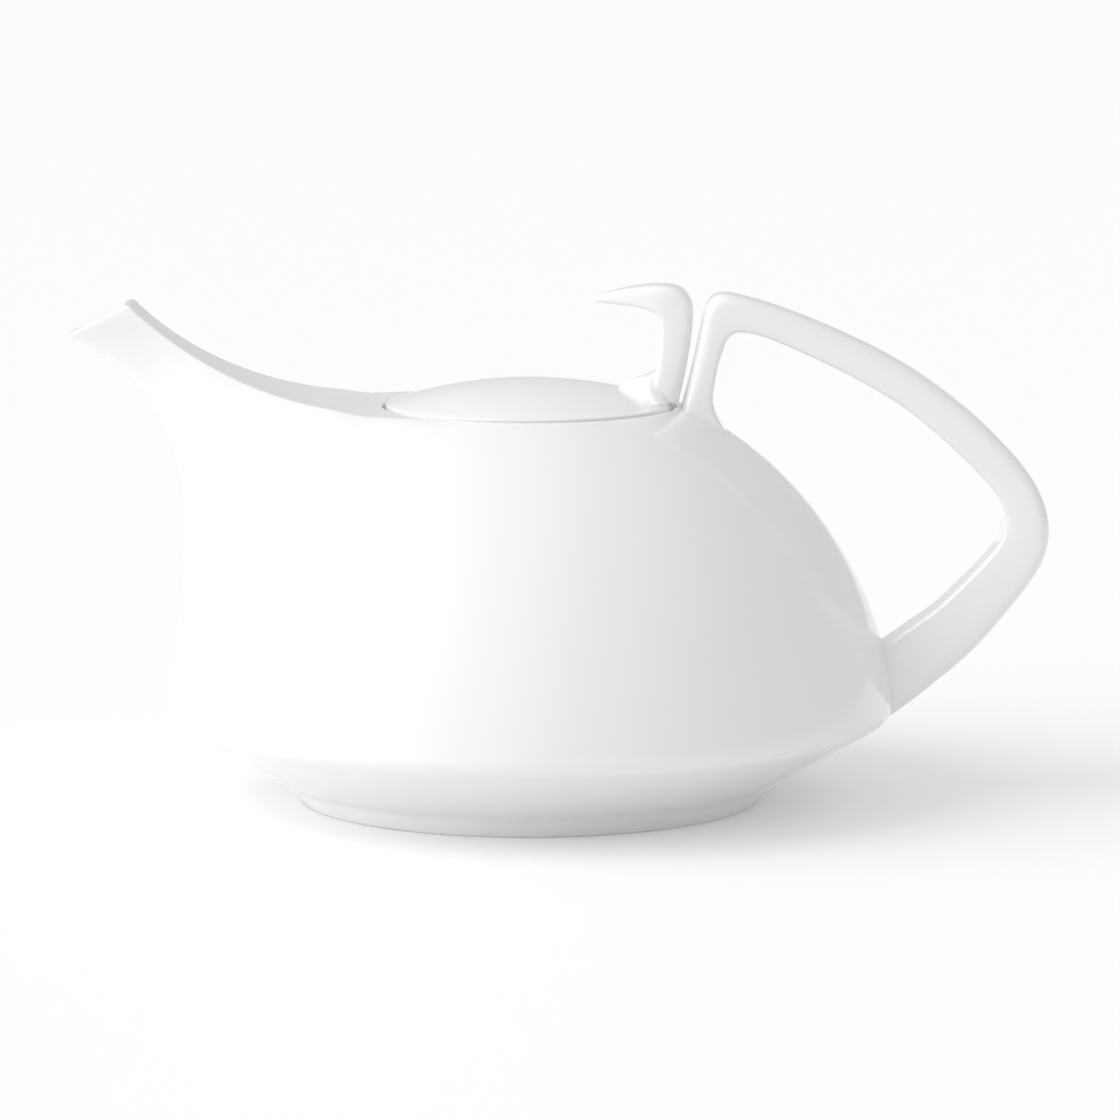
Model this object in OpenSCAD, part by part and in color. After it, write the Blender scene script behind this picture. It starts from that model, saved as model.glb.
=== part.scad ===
// Round porcelain teapot: a cone-bottomed belly under a domed shoulder, a spout drawn out of the
// side as a prow with a flat ribbon on top, an angular loop handle and a sunk lid with a hook grip.
// Origin at the centre of the foot on the table; the handle points along +X, the spout along -X.

/* [Body] */
// Diameter at the belly edge, before the edge is rounded
body_d = 182.4; // [176:0.2:194]
// Height of the belly edge above the table
belly_h = 22; // [20:0.5:26]
// Radius that rounds the belly edge
belly_round = 5; // [4.5:0.5:8]
// Radius of the domed shoulder's curve
dome_r = 94.4; // [88:0.2:110]
// Thickness of the body's wall
wall = 3.5; // [3:0.1:4]

/* [Foot] */
// Outer diameter of the foot ring on the table
foot_d = 115.4; // [106:0.2:118]
// Outer diameter of the foot ring where it meets the cone
foot_top_d = 122.4; // [119:0.2:128]
// Height of the foot ring
foot_h = 4.7; // [3.5:0.1:6]
// Width of the foot ring's bearing surface
foot_bearing = 4; // [3:0.2:6]
// Slope of the foot ring's inner wall, from upright
foot_draft = 25; // [10:1:35]
// Radius of the rounded edges that stand on the table
foot_round = 1; // [0.5:0.1:1.4]

/* [Lid opening] */
// Height of the rim around the lid
rim_h = 98.5; // [94:0.5:104]
// Diameter of the rim's outer edge, where the shoulder ends
rim_d = 75.6; // [72:0.2:80]
// Width of the flat land around the sunk seat
rim_land = 1.2; // [1:0.1:1.8]
// Depth of the seat below the rim
seat_depth = 3; // [2.6:0.1:3.6]
// Diameter of the throat that the lid's flange goes through
throat_d = 63.6; // [60:0.2:66]
// Thickness of the gallery that the lid rests on
gallery_t = 4.3; // [3.8:0.1:5]

/* [Spout] */
// How far the prow stands out from the shoulder at its narrowest
prow_out = 15.7; // [14:0.1:18]
// Drop from the rim to where the prow stands upright
prow_drop = 25.8; // [22:0.2:29]
// Height above the belly edge where the prow grows out of the shoulder
root_rise = 13; // [10:0.5:16]
// How far the lip reaches past the upright part of the prow
lip_out = 28.6; // [24:0.2:32]
// Height of the lip above the rim
lip_rise = 17.8; // [15:0.2:21]
// Length of the mouth, seen from above
mouth_run = 15.2; // [13:0.2:17]
// Slope of the mouth, up from the lip
mouth_slope = 27.5; // [22:0.5:33]
// Width of the spout at its neck and mouth
neck_w = 17.4; // [16:0.2:20]
// Length of the even-width neck behind the mouth
neck_run = 12; // [9:0.5:15]
// Radius of the prow's rounded edge, level with the rim
nose_r = 8; // [7:0.2:9]
// Radius of the prow's rounded edge at the lip
lip_r = 5.5; // [4.5:0.1:6.5]
// Thickness of the spout's wall
spout_wall = 3; // [2.4:0.1:3.4]

/* [Strainer] */
// Diameter of the pierced plate at the spout's root
strainer_d = 32; // [30:0.5:34]
// Drop from the gallery to the top of the pierced plate
strainer_drop = 0.8; // [0.4:0.1:2]
// Diameter of each hole
hole_d = 4; // [3:0.1:4.4]
// Distance between hole centres
hole_pitch = 6; // [5.6:0.1:6.4]
// Rings of holes around the middle one
hole_rings = 2; // [1:1:2]

/* [Handle] */
// Thickness of the handle, front to back
handle_t = 13; // [10:0.5:16]
// How far the handle reaches past the belly edge
handle_out = 38.1; // [34:0.2:44]
// Height of the handle's front corner above the rim
handle_rise = 27.9; // [25:0.2:32]
// Thickness of the upper arm
arm_t = 7.6; // [6.5:0.1:9]

/* [Lid] */
// Gap around the lid in its seat
lid_gap = 0.8; // [0.5:0.1:1.2]
// Gap between the flange and the throat
flange_gap = 0.6; // [0.4:0.1:1]
// Play between the lid and the gallery
seat_play = 0.3; // [0.2:0.1:0.5]
// Height of the lid's crown above the rim
crown_rise = 6.5; // [5.5:0.1:8]
// Radius of the lid's domed top
crown_r = 110; // [100:1:130]
// Thickness of the lid
lid_t = 3.6; // [3:0.1:4]
// Depth of the flange below the lid
flange_h = 10; // [8:0.5:12]
// Thickness of the flange
flange_t = 3; // [2.5:0.1:3.5]

/* [Hook] */
// Height of the hook above the rim
hook_rise = 30.2; // [27:0.2:33]
// Width of the hook's post
hook_w = 13; // [11:0.5:15]
// Distance from the lid's centre to the hook's tip
tip_x = 16; // [13:0.5:19]
// Distance from the lid's centre to the point of the hook's base
base_x = 22; // [20:0.5:24]
// Half of the angle at the base's point
base_angle = 60; // [50:1:65]
// Step from the lid's top up to the base
base_t = 1.8; // [1.4:0.1:2.4]

/* [Hidden] */
$fn = 96;
reach = 200;                    // longer than anything that is cut
arc_step = 5;                   // degrees between the points of an arc
porcelain = "WhiteSmoke";

body_r = body_d / 2;
rim_r = rim_d / 2;
foot_top_r = foot_top_d / 2;
seat_h = rim_h - seat_depth;
seat_r = rim_r - rim_land;
throat_r = throat_d / 2;
gallery_h = seat_h - gallery_t;
floor_h = foot_h + wall;

// Points on an arc about centre c, from angle a0 to angle a1
function arc(c, r, a0, a1) =
    let (n = max(2, ceil(abs(a1 - a0) / arc_step)))
    [for (i = [0:n]) c + r * [cos(a0 + (a1 - a0) * i / n), sin(a0 + (a1 - a0) * i / n)]];
// Centre of the arc of radius r from p down to q that bulges outwards
function arc_centre(p, q, r) =
    let (d = q - p, half = norm(d) / 2, side = [d.y, -d.x] / norm(d))
    (p + q) / 2 + sqrt(r * r - half * half) * side;
function angle_of(v) = atan2(v.y, v.x);
// A smooth curve through the points, with s steps between neighbours
function smooth(p, s = 4) = [
    for (i = [0:len(p) - 2], k = [0:s - 1])
        let (t = k / s, a = p[max(0, i - 1)], b = p[i], c = p[i + 1], d = p[min(len(p) - 1, i + 2)])
        0.5 * (2 * b + (c - a) * t + (2 * a - 5 * b + 4 * c - d) * t * t
               + (3 * b - a - 3 * c + d) * t * t * t),
    p[len(p) - 1]];

// Shoulder: one arc from the rim to the belly edge. Cone: a straight line from there to the foot.
dome_c = arc_centre([rim_r, rim_h], [body_r, belly_h], dome_r);
cone_angle = atan2(belly_h - foot_h, body_r - foot_top_r);
cone_dir = [cos(cone_angle), sin(cone_angle)];
cone_normal = [-cone_dir.y, cone_dir.x];
round_from = [body_r, belly_h] + belly_round * cone_normal - dome_c;
round_along = round_from * cone_dir;
round_c = dome_c + round_from + cone_dir
    * (sqrt(round_along * round_along - round_from * round_from + pow(dome_r - belly_round, 2))
       - round_along);
// Radius of the shoulder at height z, inset by t
function dome_at(z, t = 0) = dome_c.x + sqrt(pow(dome_r - t, 2) - pow(z - dome_c.y, 2));
// Radius of the cone's inner face at height z
function cone_in_at(z) = foot_top_r + (z - foot_h - wall / cos(cone_angle)) / tan(cone_angle);

// Outline of the belly edge and the shoulder up to height top, inset by t
function skin(t, top) = concat(
    arc(round_c, belly_round - t, cone_angle - 90, angle_of(round_c - dome_c)),
    arc(dome_c, dome_r - t, angle_of(round_c - dome_c), asin((top - dome_c.y) / (dome_r - t))));

// The space that the pot fills: the body without its hollow, and the room over the lid's seat
module body_envelope() {
    rotate_extrude()
        polygon(concat([[0, foot_h], [foot_top_r, foot_h]], skin(0, rim_h), [[0, rim_h]]));
    cylinder(r = rim_r, h = rim_h + lip_rise + hook_rise);
}

module strainer_plug(d) {
    translate([0, 0, gallery_h - strainer_drop - strainer_d / 2])
        rotate([0, -90, 0])
            cylinder(d = d, h = reach);
}

module body_shell() {
    rotate_extrude()
        polygon(concat(
            [[0, foot_h], [foot_top_r, foot_h]],
            skin(0, rim_h),
            [[seat_r, rim_h], [seat_r, seat_h], [throat_r, seat_h], [throat_r, gallery_h]],
            [for (i = [len(skin(wall, gallery_h)) - 1:-1:0]) skin(wall, gallery_h)[i]],
            [[cone_in_at(floor_h), floor_h], [0, floor_h]]));
}

module pot_body() {
    color(porcelain)
        difference() {
            body_shell();
            strainer_plug(strainer_d);
        }
}

module foot_ring() {
    bearing_r = foot_d / 2 - foot_bearing;
    color(porcelain)
        rotate_extrude()
            polygon(concat(
                arc([bearing_r + foot_round, foot_round], foot_round, 180, 270),
                arc([foot_d / 2 - foot_round, foot_round], foot_round, 270, 360),
                [[foot_top_r, foot_h], [bearing_r - foot_h * tan(foot_draft), foot_h]]));
}

/* Spout. A level cut through it is a drop: the prow's round nose, and straight flanks that run
   tangent to the shoulder below the rim and end at the ribbon's edges above it. */
root_h = belly_h + root_rise;
prow_h = rim_h - prow_drop;
prow_x = dome_at(prow_h) + prow_out;
lip_x = prow_x + lip_out;
lip_h = rim_h + lip_rise;
back_x = lip_x - mouth_run;
back_h = lip_h + mouth_run * tan(mouth_slope);
prow_up_r = (pow(lip_out, 2) + pow(lip_h - prow_h, 2)) / (2 * lip_out);
root_out = dome_at(root_h) - prow_x;
prow_down_r = (pow(root_out, 2) + pow(prow_h - root_h, 2)) / (2 * abs(root_out));
lip_lean = (lip_h - prow_h) / (prow_up_r - lip_out);
ribbon_r = (pow(back_x - rim_r, 2) + pow(back_h - rim_h, 2)) / (2 * (back_h - rim_h));
neck_x = back_x - neck_run;
neck_far = norm([neck_x, neck_w / 2]);
ribbon_taper = asin(rim_r / neck_far) - atan2(neck_w / 2, neck_x);

// Reach of the prow at height z
function prow_at(z) =
    z > lip_h ? lip_x + (z - lip_h) * lip_lean
    : z > prow_h ? prow_x + prow_up_r - sqrt(pow(prow_up_r, 2) - pow(z - prow_h, 2))
    : prow_x + sign(root_out) * (prow_down_r - sqrt(pow(prow_down_r, 2) - pow(z - prow_h, 2)));
// Radius of the prow's nose at height z
function nose_at(z) =
    z > rim_h ? nose_r - (nose_r - lip_r) * min(1, (z - rim_h) / lip_rise)
    : nose_r + (dome_at(root_h) - nose_r) * pow((rim_h - z) / (rim_h - root_h), 2);
// Half of the ribbon's width at the distance x in front of the axis
function ribbon_half(x) = neck_w / 2 + max(0, neck_x - x) * tan(ribbon_taper);

// Half of the drop at height z: the flank's end at edge, then the nose round to the tip
function half_drop(edge, z, t) =
    let (r = nose_at(z) - t, c = -prow_at(z) + nose_at(z), v = edge - [c, 0],
         open = 180 - angle_of(v) - acos(r / norm(v)), n = 8)
    concat([[edge.x, edge.y, z]],
        [for (i = [0:n]) [c - r * cos(open * (1 - i / n)), r * sin(open * (1 - i / n)), z]]);
function drop(h) = concat(h, [for (i = [len(h) - 2:-1:0]) [h[i].x, -h[i].y, h[i].z]]);
// Below the rim the flank ends where it touches the shoulder
function low_slice(z, t) =
    let (r = dome_at(z, t), n = nose_at(z) - t, a = acos((r - n) / (prow_at(z) - nose_at(z))))
    drop(half_drop(r * [-cos(a), sin(a)], z, t));
// Above it the flank ends at the ribbon's edge, a degrees along the ribbon's curve
function high_slice(a, t) =
    let (x = rim_r + (ribbon_r + t) * sin(a), z = rim_h + ribbon_r - (ribbon_r + t) * cos(a))
    drop(half_drop([-x, ribbon_half(x) - t / cos(ribbon_taper)], z, t));

low_steps = 9;
low_start = 3;                  // the first slice is this far above the root, where the drop has opened
ribbon_end = 50;                // degrees, past the mouth's back corner
module drawn_spout(t) {
    slices = concat(
        [for (i = [0:low_steps])
            low_slice(root_h + low_start + (rim_h - t - root_h - low_start) * i / low_steps, t)],
        [for (a = [arc_step:arc_step:ribbon_end]) high_slice(a, t)]);
    n = len(slices[0]);
    polyhedron(
        points = [for (s = slices) each s],
        faces = concat(
            [[for (i = [0:n - 1]) i]],
            [for (s = [0:len(slices) - 2], i = [0:n - 1])
                let (j = (i + 1) % n, low = s * n, high = (s + 1) * n)
                    each [[low + i, high + i, low + j], [low + j, high + i, high + j]]],
            [[for (i = [n - 1:-1:0]) (len(slices) - 1) * n + i]]));
}

module spout() {
    color(porcelain)
        difference() {
            drawn_spout(0);
            drawn_spout(spout_wall);
            body_envelope();
            translate([-lip_x, 0, lip_h])
                rotate([0, -mouth_slope, 0])
                    translate([-reach / 2, -reach / 2, 0])
                        cube(reach);
        }
}

module strainer() {
    color(porcelain)
        difference() {
            intersection() {
                body_shell();
                strainer_plug(strainer_d);
            }
            for (row = [-hole_rings:hole_rings], k = [0:2 * hole_rings - abs(row)])
                translate([0, (k - hole_rings + abs(row) / 2) * hole_pitch, row * hole_pitch * sin(60)])
                    strainer_plug(hole_d);
        }
}

/* Handle and hook are outlines seen from the side. Their points are offsets from the rim's edge
   (near) or from the belly edge and the rim (far), so they follow the body's sizes. */
function near(x, z) = [rim_r + x, rim_h + z];
function far(x, z) = [body_r + x, rim_h + z];
function low(x, z) = [body_r + x, belly_h + z];

handle_outer = [
    near(-1.8, -8), near(0.4, 1.7), near(3.2, 13.5), near(4.9, handle_rise - 6.4),
    near(7, handle_rise - 1.4), near(11, handle_rise), near(17, handle_rise - 1.5),
    near(31.5, handle_rise - 6.6), far(-1.6, 12.6), far(18.4, -1.6), far(handle_out - 4.7, -17.9),
    far(handle_out - 0.8, -26), far(handle_out, -32.3), far(handle_out - 2.8, -41),
    low(24, 19.8), low(9, 6.3), low(-3, -3.5)];
handle_inner = [
    low(-11, 13), low(-2, 17.4), low(6.3, 23.5), low(16.3, 31.7), far(handle_out - 13, -35.6),
    far(handle_out - 11.1, -29.6), far(handle_out - 11.5, -24.8), far(handle_out - 17, -17.4),
    far(6, -3.2), far(-12, 15.3 - arm_t), near(24.4, 23.6 - arm_t), near(16.5, 26.1 - arm_t),
    near(12.6, 25.7 - arm_t), near(10, 14.2), near(8.5, 8.7), near(7.4, 2.5), near(9, -2.5), near(13, -10)];

module handle() {
    color(porcelain)
        difference() {
            translate([0, handle_t / 2, 0])
                rotate([90, 0, 0])
                    linear_extrude(handle_t)
                        polygon(concat(smooth(handle_outer), smooth(handle_inner)));
            body_envelope();
        }
}

/* Lid */
lid_r = seat_r - lid_gap;
lid_h = seat_h + seat_play;
flange_r = throat_r - flange_gap;
crown_h = rim_h + crown_rise;
crown_c = [0, crown_h - crown_r];
lid_edge_h = crown_c.y + sqrt(pow(crown_r, 2) - pow(lid_r, 2));
function crown(t, r) = arc(crown_c, crown_r + t, 90 - asin(r / (crown_r + t)), 90);

module lid_cover() {
    color(porcelain)
        rotate_extrude()
            polygon(concat(
                [[lid_r, lid_h]], crown(0, lid_r),
                [for (i = [len(crown(-lid_t, flange_r)) - 1:-1:0]) crown(-lid_t, flange_r)[i]],
                [[flange_r, lid_h]]));
}

module lid_flange() {
    color(porcelain)
        difference() {
            translate([0, 0, lid_h - flange_h])
                cylinder(r = flange_r, h = flange_h + lid_edge_h - lid_h);
            translate([0, 0, lid_h - flange_h])
                cylinder(r = flange_r - flange_t, h = reach);
            lid_cover();
        }
}

hook_back = [
    near(-1.6, -1), near(-0.5, 2.5), near(0.8, 8.7), near(2, 16.5), near(2.7, hook_rise - 7.7),
    near(2, hook_rise - 3.4), near(-0.6, hook_rise - 0.8), near(-4.8, hook_rise), near(-13, hook_rise - 0.7),
    [tip_x, rim_h + hook_rise - 3.4]];
hook_front = [
    [tip_x, rim_h + hook_rise - 4.2], near(-15, hook_rise - 4.8), near(-9.5, hook_rise - 5.8),
    near(-6.4, hook_rise - 8.2), near(-5.6, hook_rise - 12), near(-5.9, 11.5), near(-7.3, 8.2),
    near(-11, 6.9), [base_x, rim_h + 6]];

hook_clear = 0.4;               // gap between the rim and the hook where it leans out over it
module hook_base_plan() {
    back = 2 * lid_r;
    linear_extrude(crown_h + base_t)
        polygon([[base_x, 0], [back, (back - base_x) * tan(base_angle)],
            [back, (base_x - back) * tan(base_angle)]]);
}

module lid_hook() {
    color(porcelain)
        difference() {
            union() {
                intersection() {
                    translate([0, hook_w / 2, 0])
                        rotate([90, 0, 0])
                            linear_extrude(hook_w)
                                polygon(concat(smooth(hook_back), smooth(hook_front),
                                    [[base_x, seat_h], near(-1.6, seat_h - rim_h)]));
                    linear_extrude(reach)
                        polygon([[tip_x, 1], [tip_x + hook_w, hook_w / 2], [reach, hook_w / 2],
                            [reach, -hook_w / 2], [tip_x + hook_w, -hook_w / 2], [tip_x, -1]]);
                }
                intersection() {
                    hook_base_plan();
                    rotate_extrude()
                        polygon(concat([[0, seat_h], [lid_r, seat_h]], crown(base_t, lid_r)));
                }
            }
            rotate_extrude()
                polygon(concat(
                    [[0, seat_h - 1], [reach, seat_h - 1],
                        [reach, rim_h + hook_clear], [lid_r, rim_h + hook_clear]],
                    crown(0, lid_r)));
        }
}

pot_body();
foot_ring();
spout();
strainer();
handle();
lid_cover();
lid_flange();
lid_hook();
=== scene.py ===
import bpy, bmesh, math
from mathutils import Vector, Matrix


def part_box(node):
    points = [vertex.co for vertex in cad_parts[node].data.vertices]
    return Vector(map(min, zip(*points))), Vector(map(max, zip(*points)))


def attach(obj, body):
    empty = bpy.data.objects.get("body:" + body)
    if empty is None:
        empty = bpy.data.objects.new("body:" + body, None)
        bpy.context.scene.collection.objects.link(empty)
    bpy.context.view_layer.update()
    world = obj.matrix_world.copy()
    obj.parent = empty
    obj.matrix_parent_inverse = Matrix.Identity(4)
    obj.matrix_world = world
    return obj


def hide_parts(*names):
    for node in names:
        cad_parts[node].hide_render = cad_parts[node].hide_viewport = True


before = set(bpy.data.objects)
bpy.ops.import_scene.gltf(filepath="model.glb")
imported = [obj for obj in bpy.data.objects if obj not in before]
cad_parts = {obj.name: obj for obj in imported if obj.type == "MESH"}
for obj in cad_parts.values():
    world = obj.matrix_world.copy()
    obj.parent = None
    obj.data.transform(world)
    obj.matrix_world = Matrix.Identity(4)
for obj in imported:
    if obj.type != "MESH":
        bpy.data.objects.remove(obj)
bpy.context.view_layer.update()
mm = 0.001


def arcPoints(centre, radius, startAngle, endAngle, steps):
    points = []
    for i in range(steps + 1):
        a = startAngle + (endAngle - startAngle) * i / steps
        points.append(Vector((centre[0] + radius * math.cos(a), centre[1] + radius * math.sin(a))))
    return points


def smoothLine(points, steps=8):
    # a curve that passes through every point, as (x, z) pairs
    p = [Vector(q) for q in points]
    out = []
    for i in range(len(p) - 1):
        a, b, c, d = p[max(0, i - 1)], p[i], p[i + 1], p[min(len(p) - 1, i + 2)]
        for k in range(steps):
            t = k / steps
            out.append(0.5 * (2 * b + (c - a) * t + (2 * a - 5 * b + 4 * c - d) * t * t
                              + (3 * b - a - 3 * c + d) * t ** 3))
    out.append(p[-1])
    return out


def roundCorner(before, corner, after, radius, steps=5):
    # the arc that softens a corner of an outline
    before, corner, after = Vector(before), Vector(corner), Vector(after)
    u, v = (before - corner).normalized(), (after - corner).normalized()
    half = u.angle(v) / 2
    start, end = corner + u * radius / math.tan(half), corner + v * radius / math.tan(half)
    centre = corner + (u + v).normalized() * radius / math.sin(half)
    s, e = start - centre, end - centre
    turn = s.angle_signed(e)
    return [centre + Matrix.Rotation(-turn * i / steps, 2) @ s for i in range(steps + 1)]


def softOutline(corners):
    # corners are (x, z, radius); a radius of 0 keeps the point as it is
    out = []
    for i, (x, z, radius) in enumerate(corners):
        if radius == 0 or i in (0, len(corners) - 1):
            out.append(Vector((x, z)))
        else:
            out += roundCorner(corners[i - 1][:2], (x, z), corners[i + 1][:2], radius)
    return out


def along(line, t):
    # the point at the fraction t of a list of points, by count
    s = t * (len(line) - 1)
    i = min(int(s), len(line) - 2)
    return line[i].lerp(line[i + 1], s - i)


def evenly(line, count):
    # the same curve with points at equal distances
    lengths = [0.0]
    for a, b in zip(line, line[1:]):
        lengths.append(lengths[-1] + (b - a).length)
    out, i = [], 0
    for k in range(count + 1):
        target = lengths[-1] * k / count
        while i < len(line) - 2 and lengths[i + 1] < target:
            i += 1
        span = lengths[i + 1] - lengths[i]
        out.append(line[i].lerp(line[i + 1], 0 if span == 0 else (target - lengths[i]) / span))
    return out


def blendStep(t):
    t = min(1.0, max(0.0, t))
    return t * t * (3 - 2 * t)


def spinOutline(bm, outline, segments, closed=False):
    # turns an (x, z) outline round the Z axis
    verts = [bm.verts.new((p.x * mm, 0, p.y * mm)) for p in outline]
    edges = [bm.edges.new(pair) for pair in zip(verts, verts[1:] + (verts[:1] if closed else []))
             if pair[0] is not pair[1]]
    bmesh.ops.spin(bm, geom=verts + edges, cent=(0, 0, 0), axis=(0, 0, 1), angle=math.tau,
                   steps=segments, use_merge=True, use_duplicate=False)
    bmesh.ops.remove_doubles(bm, verts=bm.verts, dist=1e-6)
    bmesh.ops.recalc_face_normals(bm, faces=bm.faces)


def bendGrid(bm, columns, rows, place):
    # a grid whose corner (u, v), both from 0 to 1, goes to place(u, v), given in millimetres
    made = bmesh.ops.create_grid(bm, x_segments=columns, y_segments=rows, size=0.5)
    for v in made["verts"]:
        v.co = Vector(place(v.co.x + 0.5, v.co.y + 0.5)) * mm
    return made["verts"]


def makePiece(name, bm, body, nodes, material, smoothAngle=40):
    mesh = bpy.data.meshes.new(name)
    bm.to_mesh(mesh)
    bm.free()
    piece = bpy.data.objects.new(name, mesh)
    bpy.context.scene.collection.objects.link(piece)
    mesh.materials.append(material)
    mesh.polygons.foreach_set("use_smooth", [True] * len(mesh.polygons))
    mesh.set_sharp_from_angle(angle=math.radians(smoothAngle))
    if nodes:
        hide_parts(*nodes)
    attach(piece, body)
    print("made", name, len(mesh.polygons), "faces")
    return piece


def applyModifiers(piece):
    # keeps the shape that the piece's modifiers give it
    graph = bpy.context.evaluated_depsgraph_get()
    mesh = bpy.data.meshes.new_from_object(piece.evaluated_get(graph))
    piece.modifiers.clear()
    piece.data = mesh


glazeDetail = {"driftScale": 22, "speckScale": 210, "speckRarity": 0.985,
               "speckColour": (0.45, 0.40, 0.33, 1), "peelScale": 190, "waveScale": 34,
               "waveShare": 3.0, "bumpHeight": 0.0004, "glossDrift": 0.05, "refraction": 1.5,
               "coatRoughness": 0.03}


def glazeGroup():
    group = bpy.data.node_groups.new("glazeSurface", "ShaderNodeTree")
    face = group.interface
    for name, kind, value in (("Colour", "NodeSocketColor", (0.8, 0.8, 0.8, 1)),
                              ("Tint", "NodeSocketColor", (0.8, 0.8, 0.75, 1)),
                              ("Tint Amount", "NodeSocketFloat", 0.3), ("Specks", "NodeSocketFloat", 0.3),
                              ("Roughness", "NodeSocketFloat", 0.08), ("Ripple", "NodeSocketFloat", 0.02)):
        face.new_socket(name=name, in_out="INPUT", socket_type=kind).default_value = value
    for name, kind in (("Colour", "NodeSocketColor"), ("Roughness", "NodeSocketFloat"),
                       ("Normal", "NodeSocketVector")):
        face.new_socket(name=name, in_out="OUTPUT", socket_type=kind)
    nodes, links = group.nodes, group.links
    given, out = nodes.new("NodeGroupInput"), nodes.new("NodeGroupOutput")
    place = nodes.new("ShaderNodeTexCoord")

    cloud = nodes.new("ShaderNodeTexNoise")             # slow drift of the clay's colour under the glaze
    cloud.inputs["Scale"].default_value = glazeDetail["driftScale"]
    cloud.inputs["Detail"].default_value = 3
    links.new(place.outputs["Object"], cloud.inputs["Vector"])
    drift = nodes.new("ShaderNodeMath")
    drift.operation = "MULTIPLY"
    links.new(cloud.outputs["Fac"], drift.inputs[0])
    links.new(given.outputs["Tint Amount"], drift.inputs[1])
    tinted = nodes.new("ShaderNodeMix")
    tinted.data_type = "RGBA"
    links.new(drift.outputs[0], tinted.inputs["Factor"])
    links.new(given.outputs["Colour"], tinted.inputs["A"])
    links.new(given.outputs["Tint"], tinted.inputs["B"])

    grains = nodes.new("ShaderNodeTexVoronoi")          # rare pinpoint specks fired into the glaze
    grains.inputs["Scale"].default_value = glazeDetail["speckScale"]
    links.new(place.outputs["Object"], grains.inputs["Vector"])
    dot = nodes.new("ShaderNodeMapRange")
    dot.inputs["From Min"].default_value = 0.10
    dot.inputs["From Max"].default_value = 0.05
    links.new(grains.outputs["Distance"], dot.inputs["Value"])
    rare = nodes.new("ShaderNodeSeparateColor")
    links.new(grains.outputs["Color"], rare.inputs["Color"])
    chosen = nodes.new("ShaderNodeMath")
    chosen.operation = "GREATER_THAN"
    chosen.inputs[1].default_value = glazeDetail["speckRarity"]
    links.new(rare.outputs["Red"], chosen.inputs[0])
    speck = nodes.new("ShaderNodeMath")
    speck.operation = "MULTIPLY"
    links.new(dot.outputs["Result"], speck.inputs[0])
    links.new(chosen.outputs[0], speck.inputs[1])
    amount = nodes.new("ShaderNodeMath")
    amount.operation = "MULTIPLY"
    links.new(speck.outputs[0], amount.inputs[0])
    links.new(given.outputs["Specks"], amount.inputs[1])
    speckled = nodes.new("ShaderNodeMix")
    speckled.data_type = "RGBA"
    speckled.inputs["B"].default_value = glazeDetail["speckColour"]
    links.new(amount.outputs[0], speckled.inputs["Factor"])
    links.new(tinted.outputs["Result"], speckled.inputs["A"])

    peel = nodes.new("ShaderNodeTexNoise")              # the faint orange peel of a dipped glaze
    peel.inputs["Scale"].default_value = glazeDetail["peelScale"]
    peel.inputs["Detail"].default_value = 2
    links.new(place.outputs["Object"], peel.inputs["Vector"])
    wave = nodes.new("ShaderNodeTexNoise")              # and the slow waviness of hand fettling
    wave.inputs["Scale"].default_value = glazeDetail["waveScale"]
    wave.inputs["Detail"].default_value = 1
    links.new(place.outputs["Object"], wave.inputs["Vector"])
    height = nodes.new("ShaderNodeMath")
    height.operation = "MULTIPLY_ADD"
    height.inputs[1].default_value = glazeDetail["waveShare"]
    links.new(wave.outputs["Fac"], height.inputs[0])
    links.new(peel.outputs["Fac"], height.inputs[2])
    bump = nodes.new("ShaderNodeBump")
    bump.inputs["Distance"].default_value = glazeDetail["bumpHeight"]
    links.new(given.outputs["Ripple"], bump.inputs["Strength"])
    links.new(height.outputs[0], bump.inputs["Height"])

    smear = nodes.new("ShaderNodeMath")                 # gloss varies a little with the slow colour drift
    smear.operation = "MULTIPLY_ADD"
    smear.inputs[1].default_value = glazeDetail["glossDrift"]
    links.new(cloud.outputs["Fac"], smear.inputs[0])
    links.new(given.outputs["Roughness"], smear.inputs[2])

    links.new(speckled.outputs["Result"], out.inputs["Colour"])
    links.new(smear.outputs[0], out.inputs["Roughness"])
    links.new(bump.outputs["Normal"], out.inputs["Normal"])
    return group


def newMaterial(name):
    material = bpy.data.materials.new(name)
    material.use_nodes = True
    return material, material.node_tree.nodes, material.node_tree.links


def glazeMaterial(name, group, look):
    material, nodes, links = newMaterial(name)
    shader = nodes["Principled BSDF"]
    surface = nodes.new("ShaderNodeGroup")
    surface.node_tree = group
    surface.inputs["Colour"].default_value = (*look["colour"], 1)
    surface.inputs["Tint"].default_value = (*look["tint"], 1)
    surface.inputs["Tint Amount"].default_value = look["tintAmount"]
    surface.inputs["Specks"].default_value = look["specks"]
    surface.inputs["Roughness"].default_value = look["roughness"]
    surface.inputs["Ripple"].default_value = look["ripple"]
    links.new(surface.outputs["Colour"], shader.inputs["Base Color"])
    links.new(surface.outputs["Roughness"], shader.inputs["Roughness"])
    links.new(surface.outputs["Normal"], shader.inputs["Normal"])
    shader.inputs["IOR"].default_value = glazeDetail["refraction"]
    shader.inputs["Coat Weight"].default_value = look["coat"]
    shader.inputs["Coat Roughness"].default_value = glazeDetail["coatRoughness"]
    return material


porcelainLook = {"colour": (0.83, 0.83, 0.825), "tint": (0.80, 0.80, 0.785), "tintAmount": 0.5,
                 "specks": 0.12, "roughness": 0.10, "ripple": 0.12, "coat": 0.5}
insideLook = {"colour": (0.82, 0.82, 0.81), "tint": (0.79, 0.785, 0.765), "tintAmount": 0.6,
              "specks": 0.2, "roughness": 0.13, "ripple": 0.2, "coat": 0.4}

glaze = glazeGroup()
porcelain = glazeMaterial("porcelainGlaze", glaze, porcelainLook)
innerGlaze = glazeMaterial("innerGlaze", glaze, insideLook)


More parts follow.
